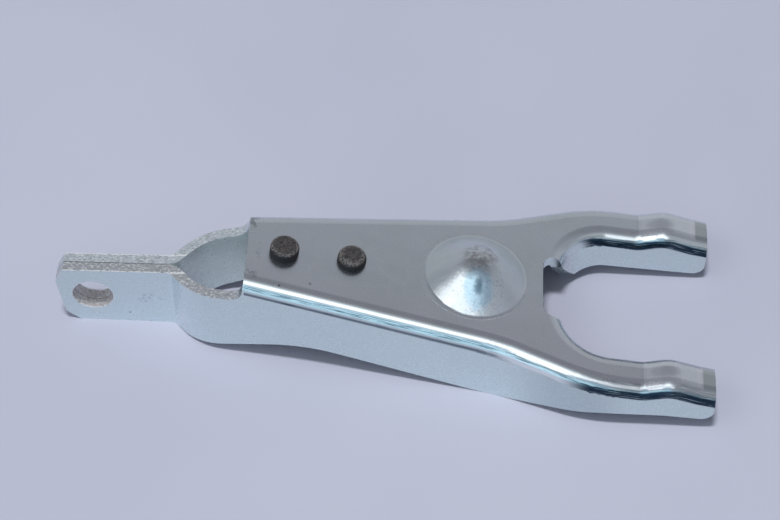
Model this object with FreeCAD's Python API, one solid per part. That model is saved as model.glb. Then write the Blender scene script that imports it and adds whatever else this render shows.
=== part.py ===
"""Clutch release fork, pressed from one steel sheet, with its two rivets and its ball spring.

The fork is an inverted channel. A sloping top plate has a flange bent down along each side.
At the lever end the plate stops short, and the two flanges close up into a double tang with
a hole for the release rod. At the bearing end the plate divides into two arms that straddle
the release bearing, and each arm has a second flange along the crotch. A domed socket in the
plate sits on the pivot ball, and a leaf spring riveted below the plate holds the ball in it.

Millimetres. The origin is the centre of the pivot ball. +X runs to the arm tips, +Z is up,
and the fork is symmetric about the XZ plane. It stands as it lies on a flat floor, on the
tang's lower edge and on the lowest points of the two side flanges.
"""
import FreeCAD, Part
import os
from math import atan2, cos, hypot, radians, sin, tan

V = FreeCAD.Vector

# sheet
sheet = 4.0                 # thickness of the steel
bend_radius = 5.7           # outside radius of the long bends
seam_gap = 0.2              # daylight between the two layers of the tang

# top plate
plate_slope = 7.92          # degrees, downhill towards the tips
plate_above_ball = 3.8      # plate's top face above the ball's centre, square to the plate
plate_edge_x = -81.0        # cut edge at the lever end
floor_z = -25.05            # level that the fork stands on

# plan outline, one side
spread_x = -109.1           # where the two layers of the tang part
spread_radius = 3.0
shoulder_x = -99.1          # where the spreading flanges meet the long sides
shoulder_y = 14.8
shoulder_radius = 25.0
flare_x = 8.8               # where the long sides start to flare out
flare_y = 30.6
flare_radius = 80.0
arm_x = 41.8                # where the flare ends and the arms run parallel
arm_y = 42.0
arm_radius = 60.0
tip_x = 86.0

# flange's upper edge at the lever end, and the tang
tang_top_z = 3.05
spread_top_z = 3.8
spread_top_radius = 60.0
neck_x = -89.0
neck_top_z = 5.7
neck_radius = 6.0
tang_end_x = -151.1
tang_nose_z = -3.25
tang_top_back = 3.2         # how far the slanted top corner is set back
tang_heel_back = 2.3        # how far the end leans back down to the heel
tang_heel_z = -20.75
tang_toe_back = 7.1         # how far the slanted heel is set back
tang_corner_radius = 2.5
tang_hole_x = -138.1
tang_hole_z = -10.6
tang_hole_radius = 7.45

# lower edge of the side flanges
arch_start_x = -107.0
arch_start_radius = 30.0
arch_x = -60.5
arch_height = 11.1          # heights here are above the floor
arch_radius = 60.0
belly_x = 9.0
belly_fall = 0.1686         # slope down into the belly
belly_rise = 0.205          # slope up out of it
belly_radius = 52.0
wrist_height = 6.9          # lower edge of the outer flange along the arm
wrist_radius = 40.0
palm_back = 17.0            # from the tip back to where that edge turns down again
palm_radius = 30.0
tip_outer_height = 5.3      # outer flange's lower corner
tip_inner_height = 2.85     # inner flange's lower corner
inner_edge_slope = -0.0855  # lower edge of the inner flange
tip_corner_radius = 4.5

# ends of the arms, seen from the side: distance back from the tip, rise above the plate's line
crease_back = 25.5
crease_radius = 6.0
pad_back = 16.0
pad_rise = 3.8
pad_radius = 12.0
heel_back = 5.2
heel_rise = 1.5
heel_radius = 8.0
tip_rise = 0.9

# crotch between the arms
crotch_half_width = 26.0
crotch_radius = 17.0
crotch_arc_x = 48.5         # centre of the two corner arcs
web_edge_x = 24.85          # plate's plain edge between the notches
notch_radius = 4.6
notch_y = 9.0
inner_flange_y = 13.0       # where an inner flange starts, at the plate
inner_flange_low_y = 22.0   # where it starts, at its lower edge
inner_flange_low_z = -20.0

# pivot dome
ball_radius = 10.0
ball_clearance = 0.2
dome_flank_slope = 37.7     # degrees, the straight flank between the cap and the plate
dome_foot_radius = 1.6      # hollow curve round the dome's foot, on the outside

# rivets and ball spring
rivet_lever_s = -69.1       # places along the plate, from the ball
rivet_ball_s = -44.9
rivet_radius = 3.5
rivet_clearance = 0.05
rivet_head_radius = 5.2
rivet_head_height = 4.3
rivet_lever_round = 2.0
rivet_ball_round = 3.2
rivet_tail_radius = 5.0
rivet_tail_height = 2.4
rivet_tail_round = 0.8
spring_thickness = 1.2
spring_half_width = 11.0
spring_end_s = -78.0
spring_bend_s = -34.0
spring_low_s = -14.0
spring_drop = 6.6           # from the plate's underside down to the prongs' top face
spring_prong_s = 12.0
spring_prong_half_width = 13.0
spring_neck_half_gap = 8.2  # half the gap between the prongs
spring_corner_radius = 3.0

# sizes that follow
slope = -tan(radians(plate_slope))
plate_z = plate_above_ball / cos(radians(plate_slope))
half_tang = sheet + seam_gap / 2
socket_radius = ball_radius + ball_clearance
dome_radius = socket_radius + sheet
beyond = 20.0               # how far a cutting body runs past what it cuts


def plate_top(x):
    return plate_z + slope * x


def offset(corners, distance):
    """Move an open line of (u, v, radius) corners to its right, arcs and all."""
    moved = []
    last = len(corners) - 1
    for i, (u, v, r) in enumerate(corners):
        before = corners[max(i - 1, 0)]
        after = corners[min(i + 1, last)]
        if i in (0, last):
            turn_in = turn_out = atan2(after[1] - before[1], after[0] - before[0])
        else:
            turn_in = atan2(v - before[1], u - before[0])
            turn_out = atan2(after[1] - v, after[0] - u)
        middle = (turn_in + turn_out) / 2
        reach = distance / cos((turn_out - turn_in) / 2)
        turns_left = turn_out > turn_in
        radius = r + distance if turns_left else r - distance
        moved.append((u + reach * sin(middle), v - reach * cos(middle), max(radius, 0.0) if r else 0.0))
    return moved


def rounded_face(corners, place):
    """A flat face from closed (u, v, radius) corners; place turns u, v into a vector."""
    edges = []
    start = None
    first = None
    count = len(corners)
    for i in range(count):
        a, b, c = corners[i - 1], corners[i], corners[(i + 1) % count]
        into = V(a[0] - b[0], a[1] - b[1], 0).normalize()
        out = V(c[0] - b[0], c[1] - b[1], 0).normalize()
        corner = V(b[0], b[1], 0)
        if b[2] > 0:
            half = into.getAngle(out) / 2
            run = b[2] / tan(half)
            middle = corner + (into + out).normalize() * (b[2] / sin(half) - b[2])
            ends = (corner + into * run, corner + out * run)
        else:
            middle = None
            ends = (corner, corner)
        if first is None:
            first = ends[0]
        else:
            edges.append(Part.LineSegment(place(start), place(ends[0])).toShape())
        if middle is not None:
            edges.append(Part.Arc(place(ends[0]), place(middle), place(ends[1])).toShape())
        start = ends[1]
    edges.append(Part.LineSegment(place(start), place(first)).toShape())
    return Part.Face(Part.Wire(edges))


def plan_solid(corners, low, high):
    """Extrude a plan outline from one height to another."""
    face = rounded_face(corners, lambda p: V(p.x, p.y, low))
    return face.extrude(V(0, 0, high - low))


def side_solid(corners, y_from, y_to):
    """Extrude a side view outline from one y to another."""
    face = rounded_face(corners, lambda p: V(p.x, y_from, p.y))
    return face.extrude(V(0, y_to - y_from, 0))


def mirrored(half):
    """Close a half plan outline with its mirror image."""
    return half + [(x, -y, r) for x, y, r in reversed(half)]


def long_side():
    """Plan of the outer face of one flange, from the tang to the tip."""
    return [
        (tang_end_x, half_tang, 0),
        (spread_x, half_tang, spread_radius),
        (shoulder_x, shoulder_y, shoulder_radius),
        (flare_x, flare_y, flare_radius),
        (arm_x, arm_y, arm_radius),
        (tip_x, arm_y, 0),
    ]


def top_line():
    """Side view of the plate's top face, from its cut edge to the tips."""
    return [
        (plate_edge_x, plate_top(plate_edge_x), 0),
        (tip_x - crease_back, plate_top(tip_x - crease_back), crease_radius),
        (tip_x - pad_back, plate_top(tip_x - pad_back) + pad_rise, pad_radius),
        (tip_x - heel_back, plate_top(tip_x - heel_back) + heel_rise, heel_radius),
        (tip_x, plate_top(tip_x) + tip_rise, 0),
    ]


def belly_corner():
    """Corner whose arc just touches the floor between the two slopes of the lower edge."""
    fall = hypot(1, belly_fall)
    rise = hypot(1, belly_rise)
    along = belly_radius * (fall - rise) / (belly_fall + belly_rise)
    up = belly_radius * rise + belly_rise * along
    return belly_x, floor_z + belly_radius - up


def crotch_outline(grow):
    """Plan of the crotch between the arms, grown by a distance on every side."""
    half = crotch_half_width + grow
    left = crotch_arc_x - crotch_radius - grow
    radius = crotch_radius + grow
    right = tip_x + beyond
    return [(right, -half, 0), (left, -half, radius), (left, half, radius), (right, half, 0)]


def is_long_edge(shape, edge):
    """True for an edge between the top and an upright side wall, and not at a cut end."""
    middle = edge.valueAt((edge.FirstParameter + edge.LastParameter) / 2)
    normals = []
    for face in shape.ancestorsOfType(edge, Part.Face):
        u, v = face.Surface.parameter(middle)
        normals.append(face.normalAt(u, v))
    top, wall = sorted(normals, key=lambda normal: -normal.z)
    return middle.x > plate_edge_x and top.z > 0.8 and abs(wall.z) < 0.01 and abs(wall.y) > 0.02


def soften(shape, radius):
    """Round the long top edges of a block."""
    chosen = [edge for edge in shape.Edges if is_long_edge(shape, edge)]
    return shape.makeFillet(radius, chosen)


def outer_block():
    """The fork's outside as one block: plan and side view crossed, crotch open, bends rounded."""
    belly = belly_corner()
    tip_low = floor_z + tip_inner_height
    drop = tip_low - belly[1] - inner_edge_slope * (tip_x - belly_x)
    meet_x = belly_x + drop / (belly_rise - inner_edge_slope)
    meet_z = belly[1] + belly_rise * (meet_x - belly_x)
    edge_top = plate_top(plate_edge_x)
    wall_lean = (edge_top - neck_top_z) * tan(radians(plate_slope))
    side = [
        (tang_end_x + tang_top_back, tang_top_z, 0),
        (spread_x, spread_top_z, spread_top_radius),
        (neck_x, neck_top_z, 0),
        (plate_edge_x - wall_lean, neck_top_z, neck_radius),
    ] + top_line() + [
        (tip_x, tip_low, tip_corner_radius),
        (meet_x, meet_z, palm_radius),
        (belly[0], belly[1], belly_radius),
        (arch_x, floor_z + arch_height, arch_radius),
        (arch_start_x, floor_z, arch_start_radius),
        (tang_end_x + tang_toe_back, floor_z, tang_corner_radius),
        (tang_end_x + tang_heel_back, tang_heel_z, tang_corner_radius),
        (tang_end_x, tang_nose_z, tang_corner_radius),
    ]
    low = floor_z - beyond
    high = edge_top + beyond
    block = plan_solid(mirrored(long_side()), low, high)
    block = block.common(side_solid(side, -arm_y - beyond, arm_y + beyond))
    block = block.cut(plan_solid(crotch_outline(0), low, high))
    return soften(block, bend_radius)


def hollow():
    """The channel below the plate, open above it at the lever end: the outside less one sheet."""
    low = floor_z - beyond
    high = plate_top(plate_edge_x) + beyond
    inner = offset(long_side(), sheet)
    inner[-1] = (tip_x + beyond, inner[-1][1], 0)
    plan = mirrored(inner)
    under = offset(top_line(), sheet)
    edge_x = under[0][0]
    start = edge_x - bend_radius
    under[0] = (start, plate_top(start) - sheet / cos(radians(plate_slope)), 0)
    heel, tip = under[-2], under[-1]
    fall = (tip[1] - heel[1]) / (tip[0] - heel[0])
    under[-1] = (tip_x + beyond, tip[1] + fall * (tip_x + beyond - tip[0]), 0)
    side = under + [(tip_x + beyond, low, 0), (start, low, 0)]
    channel = plan_solid(plan, low, high).common(side_solid(side, -arm_y, arm_y))
    channel = channel.cut(plan_solid(crotch_outline(sheet), low, high))
    channel = soften(channel, bend_radius - sheet)
    ahead = Part.makeBox(beyond + edge_x - tang_end_x, 2 * arm_y, high - low, V(tang_end_x - beyond, -arm_y, low))
    inner[0] = (tang_end_x - beyond, inner[0][1], 0)
    return channel.fuse(plan_solid(mirrored(inner), low, high).common(ahead))


def outer_trim(sign):
    """What is cut off below the outer flange of one arm."""
    belly = belly_corner()
    wrist_z = floor_z + wrist_height
    wrist_x = belly[0] + (wrist_z - belly[1]) / belly_rise
    middle = (crotch_half_width + arm_y) / 2
    start = (belly[0] + wrist_x) / 2
    low = floor_z - beyond
    side = [
        (start, belly[1] + belly_rise * (start - belly[0]), 0),
        (wrist_x, wrist_z, wrist_radius),
        (tip_x - palm_back, wrist_z, palm_radius),
        (tip_x, floor_z + tip_outer_height, tip_corner_radius),
        (tip_x, plate_z, 0),
        (tip_x + beyond, plate_z, 0),
        (tip_x + beyond, low, 0),
        (start, low, 0),
    ]
    return side_solid(side, sign * middle, sign * (arm_y + beyond))


def crotch_relief():
    """The plain edge of the plate in the crotch, and the round notch at each end of it."""
    low = floor_z - beyond
    high = plate_z + beyond
    right = crotch_arc_x
    corners = [(web_edge_x, -notch_y, 0), (web_edge_x, notch_y, 0), (right, notch_y, 0), (right, -notch_y, 0)]
    relief = plan_solid(corners, low, high)
    for sign in (-1, 1):
        centre = V(web_edge_x + notch_radius, sign * notch_y, low)
        relief = relief.fuse(Part.makeCylinder(notch_radius, high - low, centre))
    return relief


def flange_gap():
    """The space below the plate between the slanting ends of the two inner flanges."""
    top = plate_top(web_edge_x + 2 * notch_radius) - sheet / cos(radians(plate_slope))
    lean = (inner_flange_low_y - inner_flange_y) / (inner_flange_low_z - top)
    low = floor_z - beyond
    foot_y = inner_flange_y + lean * (low - top)
    corners = [(-foot_y, low, 0), (-inner_flange_y, top, 0), (inner_flange_y, top, 0), (foot_y, low, 0)]
    face = rounded_face(corners, lambda p: V(web_edge_x, p.x, p.y))
    return face.extrude(V(crotch_arc_x - web_edge_x, 0, 0))


def turned(corners, place):
    """Revolve a closed (radius, height) outline about the Z axis."""
    face = rounded_face(corners, place)
    return face.revolve(V(0, 0, 0), V(0, 0, 1), 360)


def on_plate(shape, along=0.0, up=0.0):
    """Lay a shape made level at the ball's centre onto the slope of the plate."""
    moved = shape.copy()
    moved.translate(V(along, 0, up))
    moved.rotate(V(0, 0, 0), V(0, 1, 0), plate_slope)
    return moved


def dome_section(inset, base):
    """Half section of the dome, set in from its outside: ball cap, straight flank, hollow foot."""
    tilt = radians(dome_flank_slope)
    out = V(sin(tilt), 0, cos(tilt))
    down = V(cos(tilt), 0, -sin(tilt))
    run = (dome_radius * cos(tilt) - plate_above_ball) / sin(tilt) - dome_foot_radius * tan(tilt / 2)
    foot = V(0, 0, 0) + out * (dome_radius + dome_foot_radius) + down * run
    foot_radius = dome_foot_radius + inset
    cap_radius = dome_radius - inset
    cap_end = out * cap_radius
    flank_end = foot - out * foot_radius
    foot_middle = foot - V(sin(tilt / 2), 0, cos(tilt / 2)) * foot_radius
    foot_end = foot - V(0, 0, foot_radius)
    cap_middle = V(sin(tilt / 2), 0, cos(tilt / 2)) * cap_radius
    edges = [
        Part.Arc(V(0, 0, cap_radius), cap_middle, cap_end).toShape(),
        Part.LineSegment(cap_end, flank_end).toShape(),
        Part.Arc(flank_end, foot_middle, foot_end).toShape(),
        Part.LineSegment(foot_end, V(foot_end.x, 0, base)).toShape(),
        Part.LineSegment(V(foot_end.x, 0, base), V(0, 0, base)).toShape(),
        Part.LineSegment(V(0, 0, base), V(0, 0, cap_radius)).toShape(),
    ]
    return Part.Face(Part.Wire(edges)).revolve(V(0, 0, 0), V(0, 0, 1), 360)


def fork_body():
    body = outer_block().cut(hollow())
    for sign in (-1, 1):
        body = body.cut(outer_trim(sign))
    body = body.cut(crotch_relief()).cut(flange_gap())
    middle_of_sheet = plate_above_ball - sheet / 2
    body = body.fuse(on_plate(dome_section(0, middle_of_sheet)))
    body = body.cut(on_plate(dome_section(sheet, middle_of_sheet - sheet)))
    hole_start = V(tang_hole_x, -beyond, tang_hole_z)
    body = body.cut(Part.makeCylinder(tang_hole_radius, 2 * beyond, hole_start, V(0, 1, 0)))
    for s in (rivet_lever_s, rivet_ball_s):
        shank_hole = Part.makeCylinder(rivet_radius + rivet_clearance, 2 * beyond)
        body = body.cut(on_plate(shank_hole, s, -beyond))
    return body.removeSplitter()


def rivet(s, head_round):
    """A rivet with its head on the plate and its closed tail below the spring."""
    grip = sheet + spring_thickness
    section = [
        (0, -grip - rivet_tail_height, 0),
        (rivet_tail_radius, -grip - rivet_tail_height, rivet_tail_round),
        (rivet_tail_radius, -grip, 0),
        (rivet_radius, -grip, 0),
        (rivet_radius, 0, 0),
        (rivet_head_radius, 0, 0),
        (rivet_head_radius, rivet_head_height, head_round),
        (0, rivet_head_height, 0),
    ]
    return on_plate(turned(section, lambda p: V(p.x, 0, p.y)), s, plate_above_ball)


def ball_spring():
    """Leaf spring under the plate: flat at the rivets, stepped down, forked round the ball's neck."""
    top = plate_above_ball - sheet
    low = top - spring_drop
    upper = [
        (spring_prong_s, low, 0),
        (spring_low_s, low, spring_corner_radius),
        (spring_bend_s, top, spring_corner_radius),
        (spring_end_s, top, 0),
    ]
    lower = list(reversed(offset(upper, -spring_thickness)))
    width = spring_prong_half_width
    leaf = side_solid(upper + lower, -width, width)
    low_z = low - beyond
    high_z = top + beyond
    plan = mirrored([
        (spring_end_s, spring_half_width, spring_corner_radius),
        (spring_bend_s, spring_half_width, spring_corner_radius),
        (spring_low_s, width, spring_corner_radius),
        (spring_prong_s, width, spring_corner_radius / 2),
    ])
    leaf = leaf.common(plan_solid(plan, low_z, high_z))
    neck = Part.makeCylinder(spring_neck_half_gap, high_z - low_z, V(0, 0, low_z))
    gap = spring_neck_half_gap
    mouth = [(0, -gap, 0), (0, gap, 0), (spring_prong_s + beyond, gap, 0), (spring_prong_s + beyond, -gap, 0)]
    leaf = leaf.cut(neck).cut(plan_solid(mouth, low_z, high_z))
    for s in (rivet_lever_s, rivet_ball_s):
        centre = V(s, 0, low_z)
        leaf = leaf.cut(Part.makeCylinder(rivet_radius + rivet_clearance, high_z - low_z, centre))
    return on_plate(leaf)


parts = {
    "fork_body": fork_body(),
    "rivet_lever_end": rivet(rivet_lever_s, rivet_lever_round),
    "rivet_ball_end": rivet(rivet_ball_s, rivet_ball_round),
    "ball_spring": ball_spring(),
}

os.makedirs("parts", exist_ok=True)
for name, shape in parts.items():
    shape.exportStep("parts/" + name + ".step")
    box = shape.BoundBox
    print(name, len(shape.Solids), "solid", shape.isValid(), round(shape.Volume), "mm3",
          [round(v, 2) for v in (box.XMin, box.XMax, box.YMin, box.YMax, box.ZMin, box.ZMax)])
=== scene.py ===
import math
import bpy
from mathutils import Matrix, Vector


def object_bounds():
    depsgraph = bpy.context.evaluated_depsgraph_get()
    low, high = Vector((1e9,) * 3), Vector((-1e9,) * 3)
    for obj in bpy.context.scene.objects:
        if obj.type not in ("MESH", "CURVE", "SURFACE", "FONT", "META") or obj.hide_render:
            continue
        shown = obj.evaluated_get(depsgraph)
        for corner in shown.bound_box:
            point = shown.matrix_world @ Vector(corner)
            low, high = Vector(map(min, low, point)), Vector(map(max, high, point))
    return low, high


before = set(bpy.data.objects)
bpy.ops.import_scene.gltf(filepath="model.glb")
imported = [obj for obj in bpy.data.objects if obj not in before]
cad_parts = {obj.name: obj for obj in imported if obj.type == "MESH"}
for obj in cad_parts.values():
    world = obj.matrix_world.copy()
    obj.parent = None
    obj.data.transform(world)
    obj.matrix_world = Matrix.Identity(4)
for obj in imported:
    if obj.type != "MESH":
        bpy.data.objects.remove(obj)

cad_box = [list(corner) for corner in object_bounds()]

# ---------------------------------------------------------------- pressed fork
# One blank of 4 mm steel sheet, cropped and pierced, then folded down its long
# sides and pressed over the ball. Bright zinc over all of it: the folds are
# polished by the die, and the cropped edges keep their shear marks.


class Wire:
    """One socket of a shader: the usual signs make Math nodes, and node makes any other."""

    def __init__(self, tree, socket=None):
        self.tree = tree
        self.socket = socket

    @classmethod
    def material(cls, name):
        made = bpy.data.materials.new(name)
        made.use_nodes = True
        return made, cls(made.node_tree)

    def node(self, kind, inputs=None, output=0, **settings):
        made = self.tree.nodes.new(kind)
        for name, value in settings.items():
            setattr(made, name, value)
        for slot, value in (inputs or {}).items():
            if isinstance(value, Wire):
                self.tree.links.new(value.socket, made.inputs[slot])
            else:
                made.inputs[slot].default_value = value
        return Wire(self.tree, made.outputs[output])

    def feed(self, slot, node="Principled BSDF"):
        self.tree.links.new(self.socket, self.tree.nodes[node].inputs[slot])

    def maths(self, operation, *terms):
        return self.node("ShaderNodeMath", dict(enumerate(terms)), operation=operation)

    def __add__(self, other):
        return self.maths("ADD", self, other)

    __radd__ = __add__

    def __sub__(self, other):
        return self.maths("SUBTRACT", self, other)

    def __rsub__(self, other):
        return self.maths("SUBTRACT", other, self)

    def __mul__(self, other):
        return self.maths("MULTIPLY", self, other)

    __rmul__ = __mul__

    def __truediv__(self, other):
        return self.maths("DIVIDE", self, other)

    def __rtruediv__(self, other):
        return self.maths("DIVIDE", other, self)

    def __gt__(self, other):
        return self.maths("GREATER_THAN", self, other)

    def __lt__(self, other):
        return self.maths("LESS_THAN", self, other)

    def __or__(self, other):
        return self.maths("MAXIMUM", self, other)

    __ror__ = __or__

    def __abs__(self):
        return self.maths("ABSOLUTE", self)

    def reach(self, other):
        """How far a point lies from the middle, from its two distances."""
        return self.maths("SQRT", self * self + other * other)

    def axes(self):
        """The three numbers of a vector."""
        split = self.node("ShaderNodeSeparateXYZ", {0: self})
        return [Wire(self.tree, socket) for socket in split.socket.node.outputs]

    def ramp(self, low, high):
        """0 below low and 1 above high, with a smooth step between."""
        return self.node("ShaderNodeMapRange", {0: self, 1: low, 2: high}, interpolation_type="SMOOTHSTEP")

    def band(self, rise, fall):
        """1 between two limits, with a smooth step up over rise and down over fall."""
        return self.ramp(*rise) * (1 - self.ramp(*fall))

    def mix(self, start, end):
        """This wire as the factor between two colours."""
        return self.node("ShaderNodeMix", {0: self, 6: start, 7: end}, output=2, data_type="RGBA")

    def noise(self, scale, detail=2.0, stretch=(1, 1, 1)):
        """Cloudy noise read at this vector, with scale in blobs per metre."""
        placed = self.node("ShaderNodeVectorMath", {0: self, 1: stretch}, operation="MULTIPLY")
        return self.node("ShaderNodeTexNoise", {0: placed, 2: scale, 3: detail, 4: 0.55})


plated, wire = Wire.material("zinc_plate")
place = wire.node("ShaderNodeTexCoord", output="Object")
x, y, z = place.axes()
nx, ny, nz = wire.node("ShaderNodeNewGeometry", output="Normal").axes()

# The coat: cloudy grey zinc with a fine mottle, painted greener and brighter on the upright sides for the
# light they reflect, a painted shade on the near upright face where the arm begins, and warmer along the
# near half of the plate.
clouds = place.noise(38, 3).ramp(0.35, 0.65)
mottle = place.noise(260, 3)
zinc = clouds.mix((0.66, 0.73, 0.74, 1), (0.71, 0.765, 0.80, 1))
zinc = (mottle.ramp(0.35, 0.65) * 0.5).mix(zinc, (0.74, 0.78, 0.79, 1))
# Painted reflection: the upright faces are made brighter and greener.
upright_painted_reflection = abs(ny).ramp(0.6, 0.9)
zinc = (upright_painted_reflection * 0.7).mix(zinc, (0.74, 0.86, 0.845, 1))
# Painted shade on the near upright face where the arm begins.
bend_shade = x.band((0.010, 0.032), (0.042, 0.058)) * (y < -0.02) * (1 - abs(nz).ramp(0.05, 0.15))
zinc = (bend_shade * 0.55).mix(zinc, (0.50, 0.57, 0.60, 1))
near_half = nz.ramp(0.9, 0.97) * (1 - y.ramp(-0.028, 0.004))
zinc = (near_half * 0.5).mix(zinc, (0.69, 0.70, 0.74, 1))

# The folds, found by how far the sheet has turned: drawn scratches run along them, with a painted dark
# reflection line at the foot, a painted highlight flare, a painted shade on the near arm's ridge, and a
# painted black reflection band on the arms.
dome_edge = 0.0195
plate_end_x = -0.0812
off_dome = x.reach(y) > dome_edge
dome = 1 - off_dome
fold = nz.band((0.06, 0.16), (0.80, 0.93)) * off_dome * (1 - abs(nx).ramp(0.35, 0.6)) * (x > -0.081)
along_fold = wire.node("ShaderNodeCombineXYZ", {0: x * 130, 1: nz * 26, 2: y * 8})
streaks = along_fold.noise(1, 4)
# Painted highlight: a near-white band where the fold flares.
painted_flare_highlight = x.band((0.0, 0.014), (0.028, 0.040)) * nz.band((0.12, 0.2), (0.50, 0.62)) * fold
zinc = (painted_flare_highlight * 0.8).mix(zinc, (0.97, 1.0, 1.0, 1))
# Painted shade: the near arm's ridge is darkened, broken up by the scratches.
ridge_painted_shade = x.ramp(0.030, 0.045) * (y < 0) * nz.band((0.60, 0.70), (0.90, 0.96)) * off_dome
ridge_painted_shade = ridge_painted_shade * (1 - streaks.ramp(0.50, 0.64) * 0.8)
zinc = (ridge_painted_shade * 0.9).mix(zinc, (0.40, 0.42, 0.45, 1))
# Painted dark reflection line along the foot of the fold; below it is mixed with the drawn scratches.
fold_foot_painted_line = nz.band((0.05, 0.11), (0.24, 0.38)) * fold * (1 - x.ramp(0.002, 0.016))
deep_scratches = nz.band((0.45, 0.54), (0.64, 0.76)) * streaks.ramp(0.44, 0.56)
fine_scratches = (1 - nz.ramp(0.5, 0.75)) * streaks.ramp(0.56, 0.66)
scratches = fold * (deep_scratches * 0.6 + fine_scratches * 0.4)
scratches_and_painted_foot = wire.maths("MINIMUM", 1.0, fold_foot_painted_line * 0.8 + scratches)
zinc = scratches_and_painted_foot.mix(zinc, (0.075, 0.105, 0.145, 1))
# Painted reflection: a near-black band along the arms' folds, streaked.
arm_painted_dark_band = x.ramp(0.030, 0.042) * nz.band((0.08, 0.15), (0.54, 0.64)) * fold
arm_painted_dark_band = arm_painted_dark_band * (1 - streaks.ramp(0.56, 0.68) * 0.85)
zinc = arm_painted_dark_band.mix(zinc, (0.025, 0.045, 0.070, 1))

# The arms' ends: the pads are struck flatter and painted paler for the light on their raised faces, each
# with a dull oval where the bearing pushes;
# on the last few millimetres, where the die nips them, a painted light line and a painted darker end
# facet.
pad_start = 0.0603
oval_x = 0.0682
oval_y = 0.0335
topside = nz.ramp(0.86, 0.93)
# Painted sheen: the raised pads are made paler.
pad_painted_sheen = x.ramp(pad_start, pad_start + 0.0004) * nz.ramp(0.80, 0.95)
zinc = (pad_painted_sheen * 0.8).mix(zinc, (0.88, 0.93, 0.97, 1))
rub_x = (x - oval_x) / 0.0062
rub_y = (abs(y) - oval_y) / 0.0028
oval = 1 - (rub_x * rub_x + rub_y * rub_y + mottle * 0.8).ramp(0.5, 1.5)
zinc = (oval * 0.4).mix(zinc, (0.40, 0.43, 0.45, 1))
# Painted light line, then a painted darker end facet, at the arms' ends.
zinc = (x.ramp(0.0790, 0.0796) * topside * 0.5).mix(zinc, (0.90, 0.92, 0.95, 1))
zinc = (x.ramp(0.0812, 0.0818) * topside).mix(zinc, (0.57, 0.63, 0.63, 1))

# Handling marks: smudges by the plate's end, scattered nicks, and one faint
# patch of scuffs on the tang.
plate_end = (1 - x.ramp(-0.0798, -0.0753)) * (x > plate_end_x) * nz.ramp(0.8, 0.9)
zinc = (plate_end * place.noise(230, 3).ramp(0.56, 0.64) * 0.6).mix(zinc, (0.26, 0.27, 0.29, 1))
cells = wire.node("ShaderNodeTexVoronoi", {0: place, "Scale": 90.0})
chosen = wire.node("ShaderNodeTexVoronoi", {0: place, "Scale": 90.0}, output="Color").axes()[0]
nick = (1 - (cells + mottle * 0.05).ramp(0.045, 0.08)) * (chosen > 0.70)
zinc = (nick * 0.75).mix(zinc, (0.14, 0.14, 0.15, 1))
scuff_x = (x + 0.1182) / 0.0065
scuff_z = (z + 0.0115) / 0.0032
scuff = (1 - (scuff_x * scuff_x + scuff_z * scuff_z).ramp(0.4, 1.2)) * (y < 0)
zinc = (scuff * place.noise(620, 4).ramp(0.54, 0.62) * 0.35).mix(zinc, (0.34, 0.37, 0.40, 1))

# The dome over the ball: rubbed dark at the summit, with a painted reflection of the camera on the near
# side, a dark spot in a pale blue ring, and fine specks round it.
summit = (x - 0.002).reach(y - 0.002)
rubbed = (1 - summit.ramp(0.003, 0.0085)) * (z > 0.011) * place.noise(420, 4).ramp(0.36, 0.62)
zinc = (rubbed * 0.6).mix(zinc, (0.24, 0.225, 0.225, 1))
# Painted reflection of the camera: a dark spot in a pale blue ring.
camera_glint_reach = (x - 0.0015).reach((y + 0.0097) * 0.775) + mottle * 0.004
zinc = (dome * (1 - camera_glint_reach.ramp(0.0055, 0.0082)) * 0.75).mix(zinc, (0.42, 0.62, 0.74, 1))
zinc = (dome * (1 - camera_glint_reach.ramp(0.0028, 0.0044)) * 0.8).mix(zinc, (0.07, 0.13, 0.18, 1))
specks = dome * place.noise(1300, 4).ramp(0.54, 0.66) * (1 - camera_glint_reach.ramp(0.008, 0.016))
zinc = (specks * 0.35).mix(zinc, (0.22, 0.25, 0.28, 1))

# Cropped edges: the tang's top, its nose and the hole's wall, grey and torn, its pale flecks painted
# glints, with a painted highlight along the outer corners of both layers.
hole_x = -0.1381
hole_z = -0.0106
hole_edge = 0.0076
top_edge = (x < plate_end_x) * nz.ramp(0.55, 0.85)
hole_wall = (x - hole_x).reach(z - hole_z) < hole_edge
nose = abs(nx).ramp(0.8, 0.95) * (x < -0.145)
cropped = top_edge | hole_wall | nose
torn = place.noise(1500, 5, stretch=(0.6, 1, 1))
edge = (y < -0.0001).mix((0.51, 0.56, 0.60, 1), (0.39, 0.41, 0.44, 1))
edge = hole_wall.mix(edge, (0.56, 0.54, 0.54, 1))
# The pale flecks of the torn grain are painted glints; the dark flecks are the torn grain itself.
edge = (torn.ramp(0.50, 0.66) * 0.55).mix(edge, (0.97, 0.99, 1.0, 1))
edge = ((1 - torn.ramp(0.36, 0.46)) * 0.6).mix(edge, (0.26, 0.27, 0.27, 1))
# Painted highlight along the outer corners of both layers.
painted_edge_highlight = (1 - abs(abs(y) - 0.0041).ramp(0.0002, 0.0006)) * torn.ramp(0.35, 0.5)
edge = painted_edge_highlight.mix(edge, (0.90, 0.92, 0.93, 1))
zinc = cropped.mix(zinc, edge)

# Finish: the die leaves the folds smoothest, and the inner faces of the channel
# and the cropped edges stay dull.
inward = ((y * ny) < -0.0002) * (x < -0.02)
rough = 0.24 + mottle * 0.06 - fold * 0.13 + cropped * 0.16 + dome * 0.06
metal = 1 - (inward | cropped) * 0.5
height = mottle * (0.05 + dome * 2.5) + place.noise(70, 1) + fold * streaks * 0.3 + cropped * torn * 1.2
bump = wire.node("ShaderNodeBump", {"Strength": 0.55, "Distance": 0.00012, "Height": height})
zinc.feed("Base Color")
rough.feed("Roughness")
metal.feed("Metallic")
bump.feed("Normal")
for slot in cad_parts["fork_body"].material_slots:
    slot.material = plated

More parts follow.
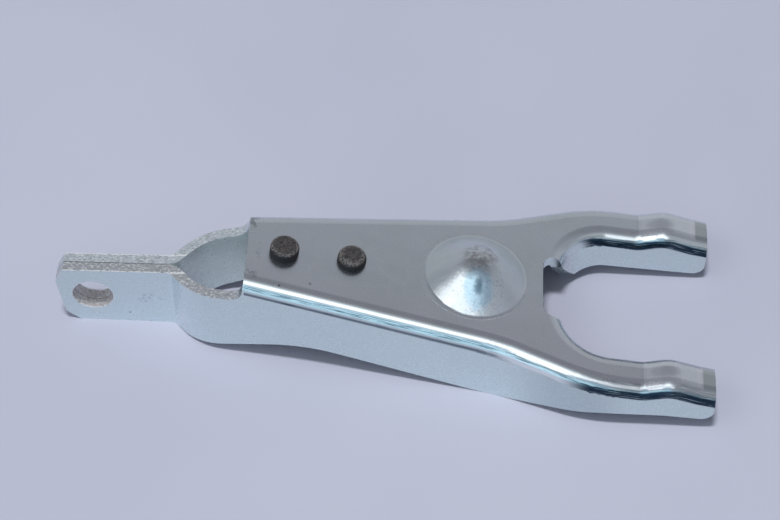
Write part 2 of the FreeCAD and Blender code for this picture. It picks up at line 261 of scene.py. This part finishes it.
# ---------------------------------------------------------------- rivets
# Two steel rivets, black from the furnace and set after plating, with a painted highlight that greys their
# rims and painted shade that blackens their sides. Their shanks pass through the plate and hold the
# spring.
black, wire = Wire.material("black_oxide")
place = wire.node("ShaderNodeTexCoord", output="Object")
scale = place.noise(1500, 3)
up = wire.node("ShaderNodeNewGeometry", output="Normal").axes()[2]
oxide = scale.ramp(0.35, 0.65).mix((0.016, 0.016, 0.017, 1), (0.080, 0.072, 0.069, 1))
# Painted highlight: a grey ring round the rims.
rim_painted_highlight = up.band((0.35, 0.55), (0.80, 0.96)) * scale.ramp(0.42, 0.58)
oxide = (rim_painted_highlight * 0.6).mix(oxide, (0.20, 0.185, 0.18, 1))
# Painted shade: the rivets' sides are made near black.
oxide = up.ramp(0.30, 0.55).mix((0.006, 0.006, 0.007, 1), oxide)
rough = 0.62 - up * 0.36 + scale * 0.15
bump = wire.node("ShaderNodeBump", {"Strength": 0.5, "Distance": 0.0001, "Height": scale})
oxide.feed("Base Color")
rough.feed("Roughness")
bump.feed("Normal")
for name in ("rivet_lever_end", "rivet_ball_end"):
    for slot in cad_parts[name].material_slots:
        slot.material = black

# ---------------------------------------------------------------- ball spring
# A leaf of spring steel under the plate, held by both rivets, whose two prongs
# hook round the ball. Oiled grey steel, drawn along its length, not plated.
leaf, wire = Wire.material("spring_leaf")
place = wire.node("ShaderNodeTexCoord", output="Object")
drawn = place.noise(1, 2, stretch=(40, 900, 900))
oiled = drawn.ramp(0.3, 0.7).mix((0.20, 0.20, 0.21, 1), (0.34, 0.34, 0.35, 1))
oiled.feed("Base Color")
shader = wire.tree.nodes["Principled BSDF"]
shader.inputs["Metallic"].default_value = 1.0
shader.inputs["Roughness"].default_value = 0.32
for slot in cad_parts["ball_spring"].material_slots:
    slot.material = leaf

# ---------------------------------------------------------------- floor
# A sheet of pale lavender card, a little uneven in colour. The fork lies on it
# on its tang's lower edge and on the bellies of its two sides.
floor_z = cad_box[0][2]
floor_side = 4
bpy.ops.mesh.primitive_plane_add(size=floor_side, location=(0, 0, floor_z))
floor = bpy.context.object
floor.name = "floor"
card, wire = Wire.material("floor_card")
place = wire.node("ShaderNodeTexCoord", output="Object")
uneven = place.noise(6, 2).ramp(0.3, 0.7)
lavender = uneven.mix((0.465, 0.477, 0.580, 1), (0.495, 0.507, 0.61, 1))
lavender.feed("Base Color")
wire.tree.nodes["Principled BSDF"].inputs["Roughness"].default_value = 0.85
floor.data.materials.append(card)

# ---------------------------------------------------------------- studio
# A dim grey room with a bright ceiling strip over the near side and a pale blue
# window low in front. arc is the angle in degrees from the far horizon over the
# top to the near one; side runs from -1 at the left to 1 at the right.
world = bpy.data.worlds.new("studio")
bpy.context.scene.world = world
world.use_nodes = True
wire = Wire(world.node_tree)
side, depth, rise = wire.node("ShaderNodeTexCoord", output="Generated").axes()
arc = wire.maths("ARCTAN2", rise, depth)
arc = wire.maths("DEGREES", arc + (arc < -math.pi / 2) * math.tau)
strip_arc = arc - side.ramp(0.05, 0.25) * 11 - (1 - side.ramp(-0.26, -0.10)) * 14

room = arc.ramp(40, 62).mix((0.44, 0.45, 0.49, 1), (0.225, 0.227, 0.260, 1))
room = (strip_arc.ramp(90, 106) * 0.8).mix(room, (0.48, 0.50, 0.55, 1))
room = (abs(side).ramp(0.48, 0.80) * 0.5).mix(room, (0.42, 0.44, 0.50, 1))
strip = strip_arc.band((100, 117), (127, 138)) * side.band((-0.50, -0.34), (0.26, 0.42))
room = (strip * (1 - side.ramp(0.05, 0.25) * 0.3)).mix(room, (1.70, 1.78, 1.85, 1))
window = side.ramp(0.08, 0.24).mix((0.60, 0.84, 1.02, 1), (0.40, 0.49, 0.58, 1))
window = side.ramp(0.45, 0.65).mix(window, (0.34, 0.42, 0.52, 1))
room = strip_arc.ramp(131, 145).mix(room, window)
room.feed("Color", "Background")
scattered = wire.node("ShaderNodeLightPath", output="Is Diffuse Ray")
(1 - scattered * 0.5).feed("Strength", "Background")

# Two softboxes: the left one lights the dome's flank, and the top one, which
# metal doesn't mirror, throws the shadow on the floor.
for name, place, wide, deep, power, mirrored in (
        ("softbox_left", (-1.40, -0.82, 2.00), 1.50, 0.95, 8.0, True),
        ("softbox_top", (-0.18, -0.40, 2.53), 0.40, 0.30, 47.0, False)):
    panel = bpy.data.lights.new(name, "AREA")
    panel.shape = "RECTANGLE"
    panel.size = wide
    panel.size_y = deep
    panel.energy = power
    panel.color = (0.98, 0.99, 1.0)
    lamp = bpy.data.objects.new(name, panel)
    lamp.location = place
    lamp.visible_glossy = mirrored
    lamp.rotation_euler = (-lamp.location).to_track_quat("-Z", "Y").to_euler()
    bpy.context.scene.collection.objects.link(lamp)

# ---------------------------------------------------------------- camera
# Stands on the near side of the fork and looks down at it through a long lens,
# turned a little about its own axis.
distance = 0.8194
elevation = math.radians(51.006)
azimuth = math.radians(2.217)
roll = math.radians(0.541)
aim = Vector((-0.03138, 0.02931, floor_z))
back = Vector((math.sin(azimuth) * math.cos(elevation),
               -math.cos(azimuth) * math.cos(elevation),
               math.sin(elevation)))
lens = bpy.data.cameras.new("camera")
lens.lens = 100.215
lens.sensor_width = 36
camera = bpy.data.objects.new("camera", lens)
camera.location = aim + back * distance
level = (-back).to_track_quat("-Z", "Y").to_matrix()
camera.rotation_euler = (level @ Matrix.Rotation(roll, 3, "Z")).to_euler()
bpy.context.scene.collection.objects.link(camera)
bpy.context.scene.camera = camera
bpy.context.scene.view_settings.view_transform = "Standard"
